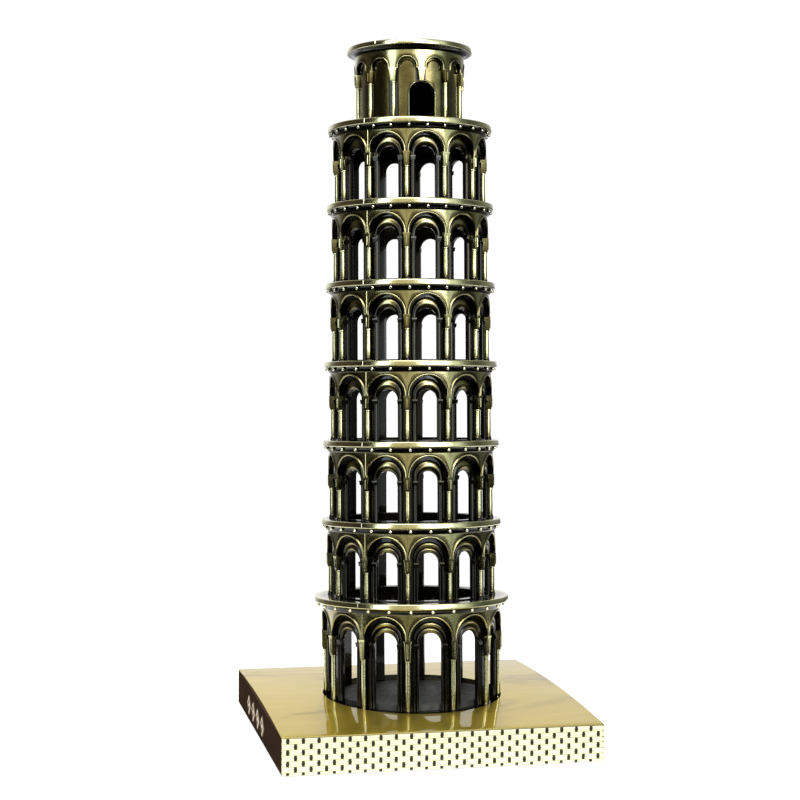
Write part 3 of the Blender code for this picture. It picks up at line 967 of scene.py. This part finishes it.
def make_base_bricks(material):
    """Brick relief on the front, right and back, in courses that are cut at the lower edge."""
    shape = Shape()
    first_seed = 7
    for index, quarter in enumerate((0.0, math.pi / 2, math.pi)):
        shape.turned_copies(brick_side(first_seed + index), 1, quarter)
    return shape.build("base_brick_relief", material, sharp=40.0)


def solid_from(name, points, faces, matrix=None, worn_and_highlit=0.3):
    """A plain closed mesh object, to be cut or to cut with."""
    shape = Shape()
    shape.add(points, faces, worn_and_highlit)
    return shape.build(name, bpy.data.materials.new(name), matrix)


def box_object(name, low, high):
    """A box between two corners, as an object."""
    (x0, y0, z0), (x1, y1, z1) = low, high
    points = [(x, y, z) for z in (z0, z1) for x, y in ((x0, y0), (x1, y0), (x1, y1), (x0, y1))]
    return solid_from(name, points, capped_faces(2, 4))


def cut(body, tools):
    """Cut closed tools out of a body, apply it, and remove the tools."""
    for tool in tools:
        step = body.modifiers.new(tool.name, "BOOLEAN")
        step.operation = "DIFFERENCE"
        step.object = tool
        step.solver = "EXACT"
    apply_modifiers(body)
    for tool in tools:
        bpy.data.objects.remove(tool, do_unlink=True)


def apply_modifiers(obj):
    """Replace an object's mesh by its evaluated one."""
    bpy.context.view_layer.update()
    graph = bpy.context.evaluated_depsgraph_get()
    mesh = bpy.data.meshes.new_from_object(obj.evaluated_get(graph))
    obj.modifiers.clear()
    obj.data = mesh


def crowned_block():
    """The casting's outside, with its edges rounded."""
    half, count = BASE_HALF, 32
    section = [(-half, BASE_FOOT)]
    section += [(y, crown(y)) for y in (-half + 2 * half * step / count for step in range(count + 1))]
    section.append((half, BASE_FOOT))
    points = [(x, y, z) for x in (-half, half) for y, z in section]
    body = solid_from("base_shell_detail", points, capped_faces(2, len(section)))
    bevel = body.modifiers.new("corners", "BEVEL")
    bevel.width = 0.35 * MM
    bevel.segments = 4
    bevel.limit_method = "ANGLE"
    bevel.angle_limit = math.radians(50)
    apply_modifiers(body)
    return body


def make_base_body(finish):
    """The casting behind the bricks: barrelled top, open underneath, tilted seat for the tower."""
    half = BASE_HALF
    inside, recess = half - BASE_WALL, half - RELIEF
    far, below = half + 1.0, -1.0
    body = crowned_block()
    boxes = {
        "hollow": ((-inside, -inside), (inside, inside), BASE_CEILING),
        "front_recess": ((-far, -far), (far, -recess), BAND),
        "back_recess": ((-far, recess), (far, far), BAND),
        "right_recess": ((recess, -far), (far, far), BAND),
    }
    tools = [box_object(name, (*low, below), (*high, top)) for name, (low, high, top) in boxes.items()]
    seat_steps, seat_gap, seat_low, seat_high = 96, 0.08, -0.3, 10.0
    rim = circle(wall_radius(1) + seat_gap, seat_steps)
    seat = [(x, y, z) for z in (seat_low, seat_high) for x, y in rim]
    tools.append(solid_from("seat", seat, capped_faces(2, len(rim)), TOWER))
    cut(body, tools)
    mesh = body.data
    mesh.materials.clear()
    for name in ("top", "side", "brick"):
        mesh.materials.append(finish[name])
    top, side, front = range(3)
    edge_width, least_left, least_rest = 0.5, 0.35, 0.8
    # Faces on the left side get the dark side material, which is painted shade; the other sides get
    # the pale brick material.
    for face in mesh.polygons:
        left = face.center.x < (edge_width - half) * MM
        upward = face.normal.z >= (least_left if left else least_rest)
        face.material_index = top if upward else side if left else front
    mesh.shade_smooth()
    mesh.set_sharp_from_angle(angle=math.radians(30))
    return body


def make_lozenges(material):
    """A row of four raised lozenges on the left side, each a bright rim round a bright boss."""
    shape = Shape()
    count, pitch, first = 4, 8.2, -9.0
    half_wide, half_high, middle, steps = 3.2, 2.9, 5.0, 24
    layers = ((1.0, -0.2, 0.0), (1.0, 0.05, 0.1), (0.88, 0.34, 0.8), (0.74, 0.40, 1.0),
              (0.6, 0.16, 0.1), (0.45, 0.14, 0.1), (0.3, 0.34, 0.8), (0.02, 0.42, 1.0))
    outline = []
    for step in range(steps):
        angle = math.tau * step / steps
        across, up = math.cos(angle), math.sin(angle)
        reach = 1.0 / (abs(across) / half_wide + abs(up) / half_high)
        outline.append((reach * across, reach * up))
    wear_and_highlight = [value for _, _, value in layers for _ in outline]
    for index in range(count):
        y = first + index * pitch
        points = [(-BASE_HALF - lift, y + across * scale, middle + up * scale)
                  for scale, lift, _ in layers for across, up in outline]
        shape.add(points, capped_faces(len(layers), steps), wear_and_highlight)
    return shape.build("base_side_lozenges", material)


def make_floor_disc(material):
    """Disc inside the foot, with a low step round its edge."""
    radius, tip = bore_radius(1) - GAP, 0.05
    low, step_top = GAP, 1.9
    shape = Shape()
    turn(shape, [
        (tip, low, 0.1), (radius, low, 0.1), (radius, step_top - 0.15, 0.1),
        (radius - 0.15, step_top, 0.3), (radius - 1.3, step_top, 0.2),
        (radius - 1.5, step_top - 0.12, 0.1), (radius * 0.5, step_top - 0.14, 0.2),
        (tip, step_top - 0.16, 0.2),
    ], 120)
    return shape.build("ground_floor_disc_detail", material, TOWER)


def felt_grid(rim, reach, hole, count):
    """Points (x, y, lift) of the felt, with those near a screw head drawn in to its hole."""
    pull = 0.9
    spots = [-rim + 2 * rim * step / count for step in range(count + 1)]
    rough = np.random.default_rng(11).uniform(0.0, 0.04, (count + 1, count + 1))
    points = []
    for row, spot_y in enumerate(spots):
        for place, spot_x in enumerate(spots):
            x, y = spot_x, spot_y
            screw_x, screw_y = math.copysign(reach, x), math.copysign(reach, y)
            gap = math.hypot(x - screw_x, y - screw_y)
            if hole - pull < gap < hole + pull:
                x = screw_x + (x - screw_x) * hole / gap
                y = screw_y + (y - screw_y) * hole / gap
            points.append((x, y, float(rough[row][place])))
    return spots, points


def make_felt(material):
    """Pressed felt cut square, with holes round the screw heads and slightly uneven faces."""
    rim, reach = BASE_HALF - BASE_WALL - GAP, BASE_HALF - SCREW_INSET
    hole, count = 2.5, 60
    spots, sheet = felt_grid(rim, reach, hole, count)
    points = [(x, y, lift) for x, y, lift in sheet]
    points += [(x, y, FELT_THICKNESS - lift) for x, y, lift in sheet]
    middles = [(low + high) / 2 for low, high in zip(spots, spots[1:])]
    line, layer = count + 1, len(sheet)
    faces = []
    edges = {}
    for row, y in enumerate(middles):
        for place, x in enumerate(middles):
            if math.hypot(abs(x) - reach, abs(y) - reach) <= hole:
                continue
            corner = row * line + place
            quad = (corner, corner + 1, corner + line + 1, corner + line)
            faces += [quad[::-1], tuple(index + layer for index in quad)]
            for start, end in zip(quad, quad[1:] + quad[:1]):
                if edges.pop((end, start), None) is None:
                    edges[(start, end)] = True
    faces += [(start, end, end + layer, start + layer) for start, end in edges]
    used = sorted({index for face in faces for index in face})
    renumber = {old: new for new, old in enumerate(used)}
    shape = Shape()
    shape.add([points[index] for index in used],
              [[renumber[index] for index in face] for face in faces], 0.5)
    return shape.build("base_felt_sheet", material)


def declare(piece, slot, *replaced):
    """Say what a piece rides on and which CAD nodes it stands for. The slot argument is not used."""
    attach(piece, "root")
    if replaced:
        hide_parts(*replaced)


def main():
    """Build the pieces, the studio and the camera."""
    finish = make_materials()
    casting = finish["casting"]
    for storey in range(1, STOREYS + 1):
        declare(make_storey(storey, casting), "antique_brass", f"storey_{storey}_arcade")
        declare(make_gallery(storey, casting), "antique_brass", f"gallery_ring_{storey}")
    declare(make_belfry_drum(casting), "antique_brass", "belfry_drum")
    declare(make_cornice(casting), "antique_brass", "belfry_cornice")
    declare(make_roof(casting), "antique_brass", "belfry_roof")
    declare(make_base_body(finish), "polished_brass", "base_shell")
    declare(make_base_bricks(finish["brick"]), "polished_brass")
    declare(make_lozenges(finish["side"]), "polished_brass")
    declare(make_floor_disc(finish["floor"]), "dark_patina", "ground_floor_disc")
    felt = make_felt(finish["felt"])
    declare(felt, "black_felt", "base_felt")
    screws = [f"plate_screw_{i}" for i in range(1, 5)] + [f"tower_screw_{i}" for i in range(1, 4)]
    for name in ("base_closing_plate", *screws):
        mesh = bpy.data.objects[name].data
        mesh.materials.clear()
        mesh.materials.append(finish["steel"])
    make_studio()
    make_camera()


def make_camera():
    """Long lens, a little above the base and to the left of the model's front."""
    heading, tilt, roll = math.radians(12.29), math.radians(3.518), math.radians(0.54)
    distance, aim_height, aim_left = 0.47966, 0.08679, 0.00338
    right = Vector((math.cos(heading), -math.sin(heading), 0.0))
    ahead = Vector((math.sin(heading), math.cos(heading), 0.0))
    forward = ahead * math.cos(tilt) - Vector((0.0, 0.0, math.sin(tilt)))
    target = Vector((0.0, 0.0, aim_height)) - right * aim_left
    data = bpy.data.cameras.new("camera")
    data.sensor_width = 36.0
    data.lens = 83.33
    data.clip_start = 0.01
    camera = bpy.data.objects.new("camera", data)
    bpy.context.scene.collection.objects.link(camera)
    up = right.cross(forward)
    side = right * math.cos(roll) + up * math.sin(roll)
    lift = up * math.cos(roll) - right * math.sin(roll)
    axes = Matrix((side, lift, -forward)).transposed().to_4x4()
    camera.matrix_world = Matrix.Translation(target - forward * distance) @ axes
    bpy.context.scene.camera = camera


def make_light(name, place, target, size, power):
    """A soft rectangular white lamp aimed at a point, which the camera doesn't see."""
    data = bpy.data.lights.new(name, "AREA")
    data.shape = "RECTANGLE"
    data.size, data.size_y = size
    data.energy = power
    lamp = bpy.data.objects.new(name, data)
    bpy.context.scene.collection.objects.link(lamp)
    lamp.location = place
    lamp.rotation_mode = "QUATERNION"
    lamp.rotation_quaternion = (Vector(target) - Vector(place)).to_track_quat("-Z", "Y")
    lamp.visible_camera = False


def make_floor():
    """Plain white floor that ends a little in front of the base, so the hollows mirror dark."""
    mesh = bpy.data.meshes.new("studio_floor")
    reach, front, sink = 0.20, -0.066, -0.00002
    corners = [(-reach, front, 0.0), (reach, front, 0.0), (reach, reach, 0.0), (-reach, reach, 0.0)]
    mesh.from_pydata(corners, [], [(0, 1, 2, 3)])
    floor = bpy.data.objects.new("studio_floor", mesh)
    floor.location.z = sink
    bpy.context.scene.collection.objects.link(floor)
    material, tree, shader = new_material("studio_paper")
    feed(tree, shader, {
        "Base Color": (0.85, 0.85, 0.85, 1.0), "Roughness": 0.9,
        "Emission Color": (1.0, 1.0, 1.0, 1.0), "Emission Strength": 0.62})
    mesh.materials.append(material)


def panorama(tree, share, stops):
    """A ramp round the horizon, from (bearing in degrees, colour) stops; 0 is the front."""
    return ramp(tree, share, [(degrees / 360 + 0.5, colour) for degrees, colour in stops])


def make_room():
    """World that is bright behind, dim in front and at the sides, with two tall windows."""
    world = bpy.data.worlds.new("studio_room")
    bpy.context.scene.world = world
    world.use_nodes = True
    tree = world.node_tree
    place = node(tree, "ShaderNodeTexCoord").outputs["Generated"]
    parts = node(tree, "ShaderNodeSeparateXYZ", {"Vector": place})
    x, y, z = (parts.outputs[axis] for axis in "XYZ")
    bearing = maths(tree, "ARCTAN2", x, maths(tree, "MULTIPLY", y, -1.0))
    share = maths(tree, "MULTIPLY_ADD", bearing, 1 / math.tau, 0.5)
    window, wide_window = (1.9, 2.2, 2.4), (1.7, 1.75, 1.9)
    upper = panorama(tree, share, [
        (-180, grey(0.52)), (-158, grey(0.46)), (-142, grey(0.12)), (-128, (0.05, 0.04, 0.03)),
        (-75, (0.012, 0.010, 0.008)), (-60, (0.04, 0.03, 0.02)), (-55, window), (-44, window),
        (-39, (0.34, 0.30, 0.21)), (-4, (0.40, 0.37, 0.28)), (3, wide_window),
        (24, (1.5, 1.6, 1.8)), (32, (0.50, 0.56, 0.56)), (54, (0.48, 0.54, 0.52)),
        (66, (0.10, 0.11, 0.09)), (85, (0.04, 0.045, 0.04)), (112, (0.10, 0.11, 0.09)),
        (142, grey(0.20)), (158, grey(0.46)), (180, grey(0.52)),
    ])
    lower = panorama(tree, share, [
        (-180, grey(0.45)), (-168, grey(0.30)), (-150, grey(0.06)), (-85, grey(0.02)),
        (85, grey(0.02)), (150, grey(0.06)), (168, grey(0.30)), (180, grey(0.45)),
    ])
    above = maths(tree, "MULTIPLY_ADD", z, 0.5, 0.5)
    level = ramp(tree, above, [(0.455, grey(0.0)), (0.50, grey(1.0))])
    walls = node(tree, "ShaderNodeMixRGB", {"Fac": level, "Color1": lower, "Color2": upper})
    height = ramp(tree, z, [(0.45, grey(0.0)), (0.75, grey(1.0))])
    overhead = node(tree, "ShaderNodeMixRGB", {
        "Fac": height, "Color1": walls.outputs[0], "Color2": (0.22, 0.22, 0.22, 1.0)})
    eye = node(tree, "ShaderNodeLightPath").outputs["Is Camera Ray"]
    seen = node(tree, "ShaderNodeMixRGB", {
        "Fac": eye, "Color1": overhead.outputs[0], "Color2": (0.52, 0.52, 0.52, 1.0)})
    feed(tree, tree.nodes["Background"], {"Color": seen.outputs[0], "Strength": 2.0})


def make_studio():
    """White floor, a room to reflect, and two soft lamps above the front."""
    bpy.context.scene.view_settings.view_transform = "Standard"
    make_floor()
    make_room()
    make_light("key_softbox", (0.36, -0.78, 0.34), (0.0, 0.0, 0.08), (0.42, 0.40), 2.5)
    make_light("top_softbox", (-0.17, -0.50, 0.72), (0.0, 0.0, 0.10), (0.62, 0.42), 6.0)


main()
